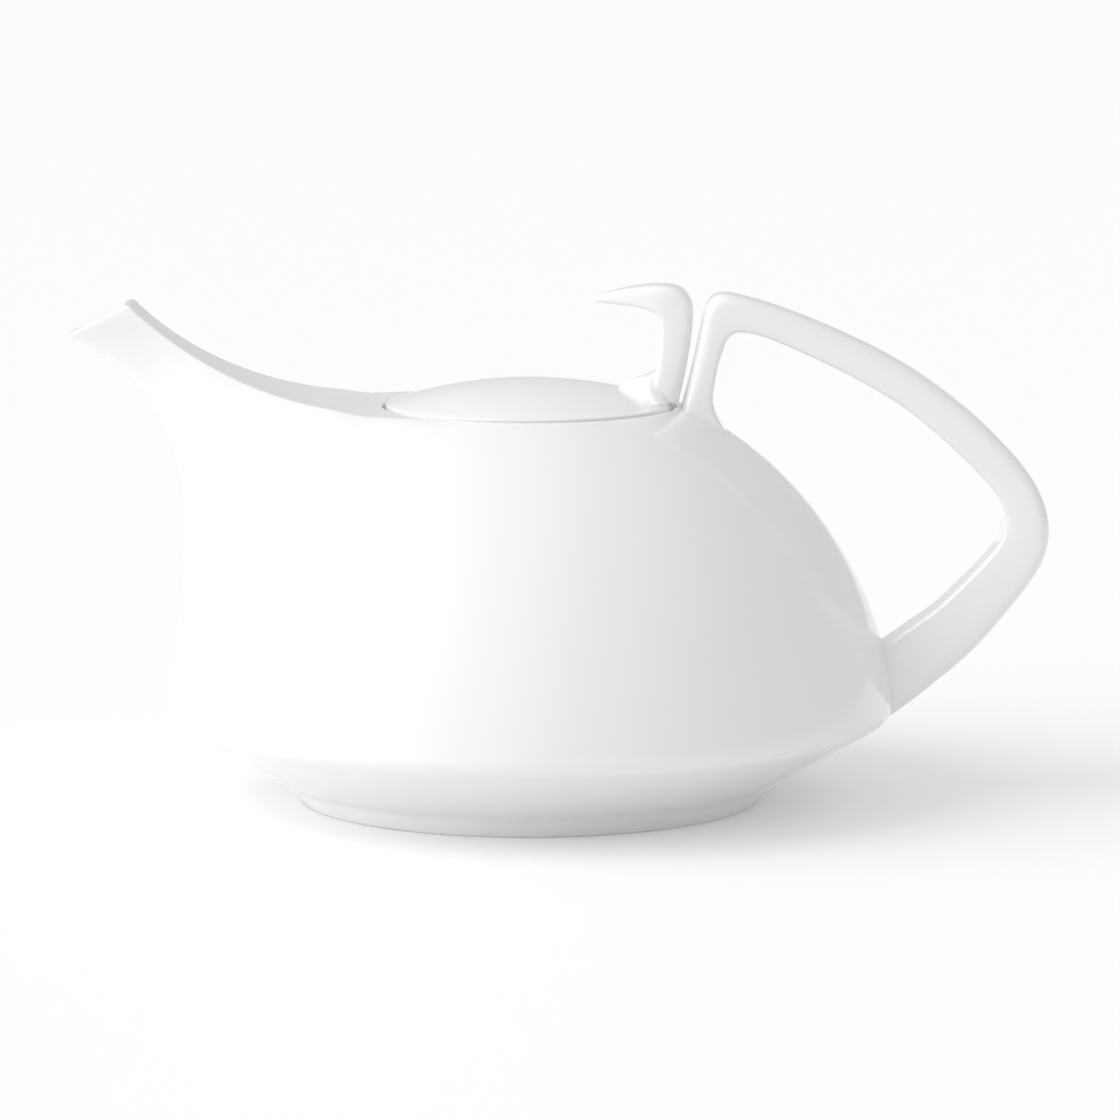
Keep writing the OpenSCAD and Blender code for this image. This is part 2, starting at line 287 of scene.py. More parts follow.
bareFoot = {"top": 0.0003, "wobble": 0.0006, "fadeAbove": 0.0004, "fadeBelow": 0.0002, "grainScale": 2400,
            "dark": (0.70, 0.68, 0.64, 1), "light": (0.80, 0.78, 0.745, 1), "roughness": 0.6}


def footMaterial(group):
    # glazed like the pot, and wiped bare and polished where it stands
    material = glazeMaterial("footGlaze", group, porcelainLook)
    nodes, links = material.node_tree.nodes, material.node_tree.links
    shader = nodes["Principled BSDF"]
    surface = [n for n in nodes if n.type == "GROUP"][0]
    place = nodes.new("ShaderNodeTexCoord")
    split = nodes.new("ShaderNodeSeparateXYZ")
    links.new(place.outputs["Object"], split.inputs["Vector"])
    wobble = nodes.new("ShaderNodeTexNoise")
    wobble.inputs["Scale"].default_value = 60
    links.new(place.outputs["Object"], wobble.inputs["Vector"])
    edge = nodes.new("ShaderNodeMath")
    edge.operation = "MULTIPLY_ADD"
    edge.inputs[1].default_value = bareFoot["wobble"]
    links.new(wobble.outputs["Fac"], edge.inputs[0])
    links.new(split.outputs["Z"], edge.inputs[2])
    bare = nodes.new("ShaderNodeMapRange")
    bare.inputs["From Min"].default_value = bareFoot["top"] + bareFoot["fadeAbove"]
    bare.inputs["From Max"].default_value = bareFoot["top"] + bareFoot["fadeBelow"]
    links.new(edge.outputs[0], bare.inputs["Value"])
    grain = nodes.new("ShaderNodeTexNoise")
    grain.inputs["Scale"].default_value = bareFoot["grainScale"]
    grain.inputs["Detail"].default_value = 4
    links.new(place.outputs["Object"], grain.inputs["Vector"])
    clay = nodes.new("ShaderNodeMix")
    clay.data_type = "RGBA"
    clay.inputs["A"].default_value = bareFoot["dark"]
    clay.inputs["B"].default_value = bareFoot["light"]
    links.new(grain.outputs["Fac"], clay.inputs["Factor"])
    colour = nodes.new("ShaderNodeMix")
    colour.data_type = "RGBA"
    links.new(bare.outputs["Result"], colour.inputs["Factor"])
    links.new(surface.outputs["Colour"], colour.inputs["A"])
    links.new(clay.outputs["Result"], colour.inputs["B"])
    links.new(colour.outputs["Result"], shader.inputs["Base Color"])
    rough = nodes.new("ShaderNodeMapRange")
    rough.inputs["To Min"].default_value = porcelainLook["roughness"]
    rough.inputs["To Max"].default_value = bareFoot["roughness"]
    links.new(bare.outputs["Result"], rough.inputs["Value"])
    links.new(rough.outputs["Result"], shader.inputs["Roughness"])
    coat = nodes.new("ShaderNodeMapRange")
    coat.inputs["To Min"].default_value = porcelainLook["coat"]
    coat.inputs["To Max"].default_value = 0.0
    links.new(bare.outputs["Result"], coat.inputs["Value"])
    links.new(coat.outputs["Result"], shader.inputs["Coat Weight"])
    return material


footGlaze = footMaterial(glaze)
print("materials ready")


potLow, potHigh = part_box("pot_body")
coverLow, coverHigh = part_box("lid_cover")
pot = {
    "rimHeight": potHigh[2] / mm,
    "footHeight": potLow[2] / mm,
    "edgeRadius": 91.2,         # where shoulder and cone would meet
    "edgeHeight": 22,
    "edgeRound": 5,
    "shoulderRadius": 94.4,
    "rimRadius": 37.8,
    "footRadius": 57.7,
    "footTopRadius": 61.2,
    "coveRadius": 8,
    "wall": 3.5,
    "seatRadius": 36.6,
    "seatDepth": 3,
    "throatRadius": 31.8,
    "galleryThickness": 4.3,
    "glazeRound": 0.6,          # how softly the glaze rounds the edges
    "segments": 224,
}


def arcCentre(p, q, radius):
    d = q - p
    side = Vector((d.y, -d.x)) / d.length
    return (p + q) / 2 + math.sqrt(radius ** 2 - (d.length / 2) ** 2) * side


shoulderCentre = arcCentre(Vector((pot["rimRadius"], pot["rimHeight"])),
                           Vector((pot["edgeRadius"], pot["edgeHeight"])), pot["shoulderRadius"])


def shoulderAt(z, inset=0.0):
    reach = (pot["shoulderRadius"] - inset) ** 2 - (z - shoulderCentre.y) ** 2
    return shoulderCentre.x + math.sqrt(max(0.0, reach))


def potSkin(inset, top, arcSteps):
    # the belly edge and the shoulder, up to the height top
    corner = Vector((pot["edgeRadius"], pot["edgeHeight"]))
    foot = Vector((pot["footTopRadius"], pot["footHeight"]))
    slope = (corner - foot).normalized()
    inward = Vector((-slope.y, slope.x))
    r = pot["edgeRound"]
    g = corner + r * inward - shoulderCentre
    s = g.dot(slope)
    reach = pot["shoulderRadius"] - r
    centre = shoulderCentre + g + slope * (math.sqrt(s * s - g.dot(g) + reach ** 2) - s)
    lean = math.atan2(slope.y, slope.x)
    toEdge = centre - shoulderCentre
    rise = math.atan2(toEdge.y, toEdge.x)
    last = math.asin((top - shoulderCentre.y) / (pot["shoulderRadius"] - inset))
    return (arcPoints(centre, r - inset, lean - math.pi / 2, rise, 8)
            + arcPoints(shoulderCentre, pot["shoulderRadius"] - inset, rise, last, arcSteps)[1:])


def footCove():
    # the soft hollow where the foot's wall turns into the cone
    return roundCorner((pot["footRadius"], 0), (pot["footTopRadius"], pot["footHeight"]),
                       (pot["edgeRadius"], pot["edgeHeight"]), pot["coveRadius"], 8)


def potOutline():
    rim, foot, soft = pot["rimHeight"], pot["footHeight"], pot["glazeRound"]
    seat = rim - pot["seatDepth"]
    under = seat - pot["galleryThickness"]
    skin = potSkin(0, rim, 56)
    inner = potSkin(pot["wall"], under, 44)
    cone = Vector((pot["edgeRadius"] - pot["footTopRadius"], pot["edgeHeight"] - foot)).normalized()
    floor = foot + pot["wall"]
    floorEdge = pot["footTopRadius"] + (floor - foot - pot["wall"] / cone.x) * cone.x / cone.y
    cove = footCove()[4:]
    outer = [Vector((0, foot)), Vector((30, foot)), Vector((cove[0].x - 0.8, foot)),
             cove[0] + Vector((-0.3, 0.1))]
    outer += cove + evenly([cove[-1], skin[0]], 14)[1:] + skin[1:-3]
    mouth = softOutline([(*skin[-4], 0), (*skin[-1], soft), (pot["seatRadius"], rim, soft * 0.8),
                         (pot["seatRadius"], seat, 0.5), (pot["throatRadius"], seat, 1.0),
                         (pot["throatRadius"], under, 1.6), (*inner[-1], 2.5), (*inner[-4], 0)])
    inside = list(reversed(inner[:-4])) + evenly([inner[0], Vector((floorEdge + 6, floor + 3.4))], 10)[1:]
    basin = smoothLine([(floorEdge + 6, floor + 3.4), (floorEdge, floor + 0.9),
                        (floorEdge - 8, floor + 0.1), (floorEdge - 16, floor), (0, floor)], 6)[1:]
    return outer + mouth[1:] + inside + basin


bm = bmesh.new()
spinOutline(bm, potOutline(), pot["segments"])
potShell = makePiece("potShell", bm, "pot", ["pot_body"], porcelain)

strainerHoles = {"plateRadius": 16, "holeRadius": 2, "pitch": 6, "rings": 2, "soft": 0.5}
strainerLow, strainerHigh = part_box("strainer")
strainerHeight = (strainerLow[2] + strainerHigh[2]) / 2


def rodAlongSpout(radius, y, z, segments):
    # a cutter that points down the spout from the pot's middle
    rod = bmesh.new()
    place = Matrix.Translation((-0.065, y * mm, z)) @ Matrix.Rotation(math.pi / 2, 4, "Y")
    bmesh.ops.create_cone(rod, cap_ends=True, segments=segments, radius1=radius * mm, radius2=radius * mm,
                          depth=0.08, matrix=place)
    mesh = bpy.data.meshes.new("cutter")
    rod.to_mesh(mesh)
    rod.free()
    return mesh


def cutWith(piece, mesh, operation):
    cutter = bpy.data.objects.new("cutter", mesh)
    bpy.context.scene.collection.objects.link(cutter)
    cut = piece.modifiers.new("cut", "BOOLEAN")
    cut.operation = operation
    cut.solver = "EXACT"
    cut.object = cutter
    applyModifiers(piece)
    bpy.data.objects.remove(cutter)


def cutStrainer():
    # the pierced plate is the part of the wall inside the window, and the pot keeps the rest
    plate = potShell.copy()
    plate.data = potShell.data.copy()
    plate.name = "strainerPlate"
    bpy.context.scene.collection.objects.link(plate)
    window = rodAlongSpout(strainerHoles["plateRadius"], 0, strainerHeight, 96)
    cutWith(plate, window, "INTERSECT")
    cutWith(potShell, window.copy(), "DIFFERENCE")
    rods = bmesh.new()
    for row in range(-strainerHoles["rings"], strainerHoles["rings"] + 1):
        count = 2 * strainerHoles["rings"] + 1 - abs(row)
        for k in range(count):
            y = (k - (count - 1) / 2) * strainerHoles["pitch"]
            z = strainerHeight + row * strainerHoles["pitch"] * math.sin(math.radians(60)) * mm
            rods.from_mesh(rodAlongSpout(strainerHoles["holeRadius"], y, z, 28))
    mesh = bpy.data.meshes.new("holes")
    rods.to_mesh(mesh)
    rods.free()
    cutWith(plate, mesh, "DIFFERENCE")
    for piece in (plate, potShell):
        piece.data.set_sharp_from_angle(angle=math.radians(40))
    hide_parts("strainer")
    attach(plate, "pot")


cutStrainer()
print("strainer cut")


ring = {"bearing": 4, "soft": 1.0, "draft": 25}
bm = bmesh.new()
bearingRadius = pot["footRadius"] - ring["bearing"]
innerTop = bearingRadius - pot["footHeight"] * math.tan(math.radians(ring["draft"]))
topEdge = pot["footHeight"] + 0.1
wall = footCove()[:5]
spinOutline(bm, softOutline([
    (innerTop - 1.2, topEdge, 0), (innerTop, pot["footHeight"] - 0.3, 0.8),
    (bearingRadius, 0, ring["soft"]), (pot["footRadius"], 0, ring["soft"]),
    *[(*p, 0) for p in wall], (wall[-1].x - 0.5, topEdge, 0),
    (innerTop - 1.2, topEdge, 0)]), pot["segments"])
footRing = makePiece("footRing", bm, "pot", ["foot_ring"], footGlaze)


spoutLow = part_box("spout")[0]
spout = {
    "lipReach": -spoutLow[0] / mm,
    "lipRise": 17.8,            # lip above the rim
    "prowOut": 15.7,            # prow beyond the shoulder where it stands upright
    "prowDrop": 25.8,           # and how far below the rim that is
    "rootRise": 13,             # where the prow grows out, above the belly edge
    "mouthRun": 15.2,
    "mouthSlope": 27.5,
    "neckWidth": 17.4,
    "neckRun": 12,
    "noseRadius": 8,
    "lipRadius": 5.5,
    "wall": 3.0,
    "overrun": 7,               # built past the mouth, then cut off level with it
    "clearRow": 2.6,            # from the last row of faces to the mouth
    "edgeSoft": 0.45,           # rounding of the ribbon's edges
    "mouthSoft": 1.25,          # rounding of the mouth's rim
    "dish": 0.5,                # how far the ribbon sinks between its edges
    "swell": 0.9,               # how far the ribbon's line stands above a plain arc
    "fairing": 58,              # height below which the flank is the plain drop
    "swellFrom": 38,            # reach at which the swell sets in, and the run that it grows over
    "swellRun": 12,
    "neckSoft": 2.5,            # the straight edge bends softly into the even neck
    "fade": 26,                 # depth over which the ribbon's width fades into the flank
    "hemTurn": 2.5,             # the hidden hem under the shoulder, in degrees, and its depth
    "hemDepth": 0.35,
}
rim = pot["rimHeight"]
rootHeight = pot["edgeHeight"] + spout["rootRise"]
prowHeight = rim - spout["prowDrop"]
prowReach = shoulderAt(prowHeight) + spout["prowOut"]
lipOut = spout["lipReach"] - prowReach
lipHeight = rim + spout["lipRise"]
backReach = spout["lipReach"] - spout["mouthRun"]
backHeight = lipHeight + spout["mouthRun"] * math.tan(math.radians(spout["mouthSlope"]))
upRadius = (lipOut ** 2 + (lipHeight - prowHeight) ** 2) / (2 * lipOut)
rootOut = shoulderAt(rootHeight) - prowReach
downRadius = (rootOut ** 2 + (prowHeight - rootHeight) ** 2) / (2 * rootOut)
ribbonRadius = ((backReach - pot["rimRadius"]) ** 2 + (backHeight - rim) ** 2) / (2 * (backHeight - rim))
neckReach = backReach - spout["neckRun"]
taper = (math.asin(pot["rimRadius"] / math.hypot(neckReach, spout["neckWidth"] / 2))
         - math.atan2(spout["neckWidth"] / 2, neckReach))
touchReach = pot["rimRadius"] * math.sin(taper)     # where the ribbon's edge leaves the rim


def prowAt(z):
    if z > lipHeight:
        lean = (lipHeight - prowHeight) / (upRadius - lipOut)
        return spout["lipReach"] + (z - lipHeight) * lean
    radius = upRadius if z > prowHeight else downRadius
    return prowReach + radius - math.sqrt(radius ** 2 - (z - prowHeight) ** 2)


def noseAt(z):
    if z > rim:
        narrowing = spout["noseRadius"] - spout["lipRadius"]
        return spout["noseRadius"] - narrowing * min(1, (z - rim) / spout["lipRise"])
    return spout["noseRadius"] + ((shoulderAt(rootHeight) - spout["noseRadius"])
                                  * ((rim - z) / (rim - rootHeight)) ** 2)


def ribbonRise(reach):
    # height of the ribbon above the rim
    run = max(0.0, reach - pot["rimRadius"])
    swell = spout["swell"] * blendStep((reach - spout["swellFrom"]) / spout["swellRun"])
    return ribbonRadius - math.sqrt(ribbonRadius ** 2 - run ** 2) + swell


def ribbonHalf(reach):
    line = spout["neckWidth"] / 2 + (neckReach - reach) * math.tan(taper)
    neck = spout["neckWidth"] / 2
    soft = spout["neckSoft"]
    return neck + (line - neck + math.sqrt((line - neck) ** 2 + soft ** 2)) / 2 - soft * 0.15


def dropHalf(reach, z, level):
    # half width of a level cut: the shoulder's circle, a straight flank, and the prow's round nose
    radius, nose = shoulderAt(level), noseAt(z)
    centre = prowAt(z) - nose
    lean = min(0.995, (radius - nose) / centre)
    side = math.sqrt(1 - lean * lean)
    if reach < radius * lean:
        return math.sqrt(max(0.0, radius ** 2 - reach ** 2))
    if reach < centre + nose * lean:
        return (radius - reach * lean) / side
    return math.sqrt(max(0.0, nose ** 2 - (reach - centre) ** 2))


def spoutHalf(reach, z):
    # as dropHalf, but the flank climbs smoothly to the ribbon's edge
    rise = ribbonRise(reach)
    crest = rim + rise
    climb = min(1.0, max(0.0, (z - spout["fairing"]) / (crest - spout["fairing"])))
    half = dropHalf(reach, z, z - rise * climb ** 2)
    if reach > touchReach:
        wanted = ribbonHalf(reach) / dropHalf(reach, crest, rim)
        half *= 1 + (wanted - 1) * math.exp(-(crest - min(z, crest)) / spout["fade"])
    return half


def touchPoint(z):
    # where the flank leaves the shoulder, at the height z
    radius, nose = shoulderAt(z), noseAt(z)
    lean = (radius - nose) / (prowAt(z) - nose)
    return Vector((radius * lean, z))


# Each row of the spout runs from the ribbon's edge, or lower down from the shoulder, round to the prow.
# The last row before the mouth keeps clear of it, so that the rim has room for its rounding.
ribbonRows = 48
endReach = backReach + spout["overrun"]
ribbonReach = [touchReach + (backReach - spout["clearRow"] - touchReach) * i / (ribbonRows - 1)
               for i in range(ribbonRows)] + [endReach]
edgeLine = [touchPoint(rootHeight + 4 + (rim - rootHeight - 4) * (i / 24) ** 0.8) for i in range(24)]
edgeLine += [Vector((reach, rim + ribbonRise(reach))) for reach in ribbonReach]
rowsUp = len(edgeLine) - 1
prowHeights = smoothLine([(0, rootHeight + 2.5), (10, 44), (23, 56), (35, 73), (47, 91), (58, 103.5),
                          (66, 111.5), (rowsUp - 1, lipHeight - spout["clearRow"] * 0.8)], 12)
prowHeights.append(Vector((rowsUp, lipHeight + 3.2)))


def prowFor(row):
    for a, b in zip(prowHeights, prowHeights[1:]):
        if b.x >= row:
            return a.y + (b.y - a.y) * (row - a.x) / (b.x - a.x)
    return prowHeights[-1].y


def spoutPoint(u, v):
    # u runs from the edge to the prow, v from the root to past the mouth
    row = v * rowsUp
    edge = along(edgeLine, v)
    tipZ = prowFor(row)
    p = 1 - (1 - u) ** 2.2
    z = edge.y + (tipZ - edge.y) * p
    reach = edge.x + (prowAt(tipZ) - edge.x) * p
    if u > 0.9999:
        return (-reach, 0, z)
    return (-reach, spoutHalf(min(reach, prowAt(z) - 0.002), z), z)


# the ribbon's middle runs round the rim, then along the centre
innerLine = []
landRadius = (pot["rimRadius"] + pot["seatRadius"]) / 2
landRows = 18
for i in range(ribbonRows + 1):
    if i <= landRows:
        angle = (math.pi / 2 - taper) * (1 - i / landRows)
        innerLine.append(Vector((landRadius * math.cos(angle), landRadius * math.sin(angle))))
    elif i < ribbonRows:
        last = ribbonReach[-2]
        reach = landRadius + (last - landRadius) * (i - landRows) / (ribbonRows - 1 - landRows)
        innerLine.append(Vector((reach, 0)))
    else:
        innerLine.append(Vector((endReach, 0)))


def ribbonPoint(u, v):
    reach = ribbonReach[round(v * ribbonRows)]
    edge = Vector((reach, spoutHalf(reach, rim + ribbonRise(reach))))
    p = edge.lerp(along(innerLine, v), u)
    dish = spout["dish"] * (1 - (1 - u) ** 3) * blendStep((p.x - 40) / 14)
    flush = 0.03 * min(1.0, u * 8)                  # just over the pot's own rim
    return (-p.x, p.y, rim + flush + ribbonRise(p.x) - dish)


def buildSpout():
    bm = bmesh.new()
    bendGrid(bm, 40, rowsUp, spoutPoint)
    bendGrid(bm, 10, ribbonRows, ribbonPoint)
    bmesh.ops.remove_doubles(bm, verts=bm.verts, dist=0.02 * mm)
    bmesh.ops.mirror(bm, geom=bm.verts[:] + bm.edges[:] + bm.faces[:], axis="Y", merge_dist=0.03 * mm)
    bmesh.ops.remove_doubles(bm, verts=bm.verts, dist=0.02 * mm)
    bmesh.ops.dissolve_degenerate(bm, edges=bm.edges, dist=0.01 * mm)
    bmesh.ops.recalc_face_normals(bm, faces=bm.faces)
    return bm


def mouthLevel(reach):
    # height of the mouth's plane
    return lipHeight + (spout["lipReach"] - reach) * math.tan(math.radians(spout["mouthSlope"]))


def cutMouth(bm):
    # the mouth is cut straight, sloping up from the lip to the ribbon
    slope = math.radians(spout["mouthSlope"])
    bmesh.ops.bisect_plane(bm, geom=bm.verts[:] + bm.edges[:] + bm.faces[:], dist=1e-6,
                           plane_co=(-spout["lipReach"] * mm, 0, lipHeight * mm),
                           plane_no=(-math.sin(slope), 0, math.cos(slope)), clear_outer=True)


def tuckUnderShoulder(bm):
    # a hem that follows the shoulder just under its surface, so that no seam opens
    rootEdges = [e for e in bm.edges if e.is_boundary and all(
        v.co.z < (rim - 0.2) * mm and abs(math.hypot(v.co.x, v.co.y) / mm - shoulderAt(v.co.z / mm)) < 0.3
        for v in e.verts)]
    hem = bmesh.ops.extrude_edge_only(bm, edges=rootEdges)["geom"]
    for vert in [g for g in hem if isinstance(g, bmesh.types.BMVert)]:
        side = math.atan2(vert.co.y, -vert.co.x)
        side += math.copysign(math.radians(spout["hemTurn"]), side)
        r = (shoulderAt(vert.co.z / mm) - spout["hemDepth"]) * mm
        vert.co = Vector((-r * math.cos(side), r * math.sin(side), vert.co.z))
    landEdges = [e for e in bm.edges if e.is_boundary and all(
        v.co.z > (rim - 0.2) * mm and math.hypot(v.co.x, v.co.y) < (pot["rimRadius"] - 0.3) * mm
        for v in e.verts)]
    hem = bmesh.ops.extrude_edge_only(bm, edges=landEdges)["geom"]
    for vert in [g for g in hem if isinstance(g, bmesh.types.BMVert)]:
        vert.co = Vector((vert.co.x * 0.996, vert.co.y * 0.996, vert.co.z - 0.5 * mm))


def clearOfPot(p):
    # how far a point of the spout, in millimetres, stands off the shoulder and the rim
    over = p.z - rim
    out = math.hypot(p.x, p.y) - shoulderAt(min(p.z, rim))
    return max(over, out) if over > 0 else out


def innerPoint(vert):
    # the wall's inner face behind a point of the outer one, thinning to nothing on the shoulder
    p = vert.co / mm
    reach = -p.x
    wall = spout["wall"] * min(1.0, 0.01 + max(0.0, clearOfPot(p) - 0.3) / spout["wall"])
    onMouth = abs(p.z - mouthLevel(reach)) < 0.01
    climb = (ribbonRise(backReach) - ribbonRise(backReach - 1)
             + math.tan(math.radians(spout["mouthSlope"])))
    if any(f.normal.z > 0.6 for f in vert.link_faces):
        half = ribbonHalf(reach)
        y = p.y * max(0.0, half - wall) / half
        if onMouth:
            reach += wall / climb
            return Vector((-reach, y, mouthLevel(reach)))
        return Vector((p.x, y, p.z - wall))
    if onMouth:                                     # square to the mouth's outline, within its plane
        ends = [e.other_vert(vert).co for e in vert.link_edges if e.is_boundary]
        line = (ends[0] - ends[1]).normalized()
        slope = math.radians(spout["mouthSlope"])
        inward = line.cross(Vector((math.sin(slope), 0, math.cos(slope)))).normalized()
        if inward.dot(Vector((-backReach * mm, 0, lipHeight * mm)) - vert.co) < 0:
            inward.negate()
        x, y = p.x + inward.x * wall, p.y + inward.y * wall
        x -= wall / climb * max(0.0, spout["lipReach"] - reach) / spout["mouthRun"]
        return Vector((x, y, mouthLevel(-x)))
    across = Vector((vert.normal.x, vert.normal.y)).normalized()
    x, y = p.x - across.x * wall, p.y - across.y * wall
    if y * p.y < 0:
        y = 0.0
    depth = max(0.0, rim + ribbonRise(reach) - p.z)
    return Vector((x, y, p.z - wall * math.exp(-depth / (2 * spout["wall"]))))


def addWall(bm):
    bm.normal_update()
    places = {vert: innerPoint(vert) for vert in bm.verts}
    ends = [e for e in bm.edges if e.is_boundary]
    made = bmesh.ops.duplicate(bm, geom=bm.verts[:] + bm.edges[:] + bm.faces[:])
    for vert, place in places.items():
        made["vert_map"][vert].co = place * mm
    bmesh.ops.reverse_faces(bm, faces=[g for g in made["geom"] if isinstance(g, bmesh.types.BMFace)])
    mouthEnds = [e for e in ends if onMouthPlane(e)]
    rootEnds = [e for e in ends if not onMouthPlane(e)]
    for loop in (mouthEnds, rootEnds):
        bmesh.ops.bridge_loops(bm, edges=loop + [made["edge_map"][e] for e in loop])
    bmesh.ops.recalc_face_normals(bm, faces=bm.faces)


def onMouthPlane(edge):
    return all(abs(v.co.z / mm - mouthLevel(-v.co.x / mm)) < 0.02 for v in edge.verts)


def markEdges(bm):
    # the rim of the mouth is rounded in full, the ribbon's edges only by their own share
    weight = bm.edges.layers.float.new("bevel_weight_edge")
    bm.normal_update()
    count = 0
    for e in bm.edges:
        if len(e.link_faces) != 2 or not e.is_convex or e.calc_face_angle(0) < math.radians(35):
            continue
        if onMouthPlane(e):
            e[weight] = 1.0
        elif all(v.co.z > (rim + 0.05) * mm and abs(v.co.y) / mm > ribbonHalf(-v.co.x / mm) - 0.3
                 for v in e.verts):
            e[weight] = spout["edgeSoft"] / spout["mouthSoft"]
        count += e[weight] > 0
    print("spout:", count, "edges to round")


bm = buildSpout()
if min(bm.faces, key=lambda f: f.calc_center_median().x).normal.x > 0:
    bmesh.ops.reverse_faces(bm, faces=bm.faces)     # out of the spout, as the prow shows
cutMouth(bm)
tuckUnderShoulder(bm)
addWall(bm)
markEdges(bm)
spoutShell = makePiece("spoutShell", bm, "pot", ["spout"], porcelain)
soft = spoutShell.modifiers.new("soft", "BEVEL")
soft.width = spout["mouthSoft"] * mm
soft.segments = 5
soft.limit_method = "WEIGHT"
soft.use_clamp_overlap = False
applyModifiers(spoutShell)
spoutShell.data.set_sharp_from_angle(angle=math.radians(50))

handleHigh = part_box("handle")[1]
handle = {
    "width": handleHigh[1] * 2 / mm,
    "outerSoft": 2.7,           # rounding of the strap's outer and inner edges
    "innerSoft": 1.1,
    "crown": 0.05,              # how much the flat sides swell
    "stepsBetween": 5,
    # stations along the loop: outer x, z and inner x, z, and how much wider than the strap it is
    "stations": [
        (34.6, 89.0, 53.5, 86.5, 1.45), (35.9, 93.0, 49.6, 91.2, 1.22), (37.2, 97.0, 46.6, 96.0, 1.05),
        (38.1, 100.2, 45.5, 99.8, 1.0), (39.2, 104.2, 45.8, 103.4, 1.0), (40.3, 108.8, 46.6, 108.2, 1.0),
        (41.3, 113.2, 47.7, 111.9, 1.0), (42.2, 117.4, 48.5, 114.3, 1.0), (43.0, 121.2, 49.4, 115.8, 1.0),
        (44.0, 124.0, 50.4, 116.7, 1.0), (46.2, 126.1, 51.8, 117.1, 1.0), (49.6, 126.4, 54.0, 117.0, 1.0),
        (54.7, 125.2, 57.4, 116.2, 1.0), (61.0, 123.3, 62.0, 114.5, 1.0), (69.6, 120.1, 69.0, 111.4, 1.0),
        (79.6, 115.8, 77.4, 107.4, 1.0), (89.6, 110.8, 85.6, 102.9, 1.0), (99.6, 104.6, 93.8, 97.7, 1.0),
        (109.8, 96.8, 102.4, 90.6, 1.0), (119.2, 87.6, 110.6, 82.8, 1.0), (125.0, 80.3, 115.8, 77.0, 1.0),
        (128.2, 73.6, 118.0, 72.4, 1.0), (129.3, 67.0, 118.2, 68.2, 1.0), (128.0, 60.4, 116.4, 63.8, 1.0),
        (124.6, 54.4, 112.6, 59.2, 1.0), (118.6, 46.6, 107.4, 53.8, 1.0), (110.4, 37.2, 101.0, 47.8, 1.0),
        (100.6, 28.8, 93.8, 42.6, 1.02), (92.6, 22.6, 88.4, 38.8, 1.08), (86.0, 18.4, 82.0, 34.6, 1.2)],
}


def sectionRing(outer, inner, half, look):
    # a strap's section between an outer and an inner point of the side view, with its own softness at each
    thick = (outer - inner).length
    away = (outer - inner) / thick
    limit = min(0.46 * thick, 0.8 * half)
    a, b = min(look["outerSoft"], limit), min(look["innerSoft"], limit)
    quarter = [(-thick / 2, 0.0), (-thick / 2, (half - b) / 2)]
    for i in range(7):
        turn = math.radians(180 - 15 * i)
        quarter.append((b - thick / 2 + b * math.cos(turn), half - b + b * math.sin(turn)))
    flat = thick - a - b
    quarter += [(b - thick / 2 + flat * i / 5, half) for i in range(1, 5)]
    for i in range(7):
        turn = math.radians(90 - 15 * i)
        quarter.append((thick / 2 - a + a * math.cos(turn), half - a + a * math.sin(turn)))
    quarter += [(thick / 2, (half - a) / 2), (thick / 2, 0.0)]
    crowned = [(p, q * (1 - look["crown"] * (2 * p / thick) ** 2)) for p, q in quarter]
    middle = (outer + inner) / 2
    around = crowned + [(p, -q) for p, q in reversed(crowned[1:-1])]
    return [Vector((middle.x + away.x * p, q, middle.y + away.y * p)) * mm for p, q in around]


def loftRings(bm, rings):
    loops = []
    for ring in rings:
        verts = [bm.verts.new(p) for p in ring]
        loops.append([bm.edges.new((verts[i - 1], verts[i])) for i in range(len(verts))])
    for before, after in zip(loops, loops[1:]):
        bmesh.ops.bridge_loops(bm, edges=before + after)
    for end in (loops[0], loops[-1]):
        bmesh.ops.contextual_create(bm, geom=end)
    bmesh.ops.recalc_face_normals(bm, faces=bm.faces)


def stationLines(stations, steps):
    outer = smoothLine([p[0:2] for p in stations], steps)
    inner = smoothLine([p[2:4] for p in stations], steps)
    widen = smoothLine([(p[4], 0) for p in stations], steps)
    return list(zip(outer, inner, [w.x for w in widen]))


bm = bmesh.new()
loftRings(bm, [sectionRing(outer, inner, handle["width"] / 2 * wide, handle)
               for outer, inner, wide in stationLines(handle["stations"], handle["stepsBetween"])])
handleLoop = makePiece("handleLoop", bm, "pot", ["handle"], porcelain)


flangeLow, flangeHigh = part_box("lid_flange")
lid = {
    "radius": coverHigh[0] / mm,
    "underside": coverLow[2] / mm,
    "crown": coverHigh[2] / mm,
    "crownRadius": 110,
    "thickness": 3.6,
    "edgeSoft": 0.45,
    "flangeRadius": flangeHigh[0] / mm,
    "flangeFoot": flangeLow[2] / mm,
    "flangeThickness": 3,
    "segments": 160,
}


def crownAt(r, lift=0.0):
    return lid["crown"] - lid["crownRadius"] + math.sqrt((lid["crownRadius"] + lift) ** 2 - r * r)


bm = bmesh.new()
topLine = [Vector((lid["radius"] * i / 40, crownAt(lid["radius"] * i / 40))) for i in range(38)]
underReach = [lid["flangeRadius"] * i / 24 for i in range(25)]
underLine = [Vector((reach, crownAt(reach, -lid["thickness"]))) for reach in underReach]
edge = softOutline([(*topLine[-1], 0), (lid["radius"], crownAt(lid["radius"]), lid["edgeSoft"]),
                    (lid["radius"], lid["underside"], 0.7), (lid["flangeRadius"], lid["underside"], 0.2),
                    (*underLine[-1], 0)])
spinOutline(bm, topLine + edge[1:-1] + list(reversed(underLine)), lid["segments"])
lidCover = makePiece("lidCover", bm, "lid", ["lid_cover"], porcelain)

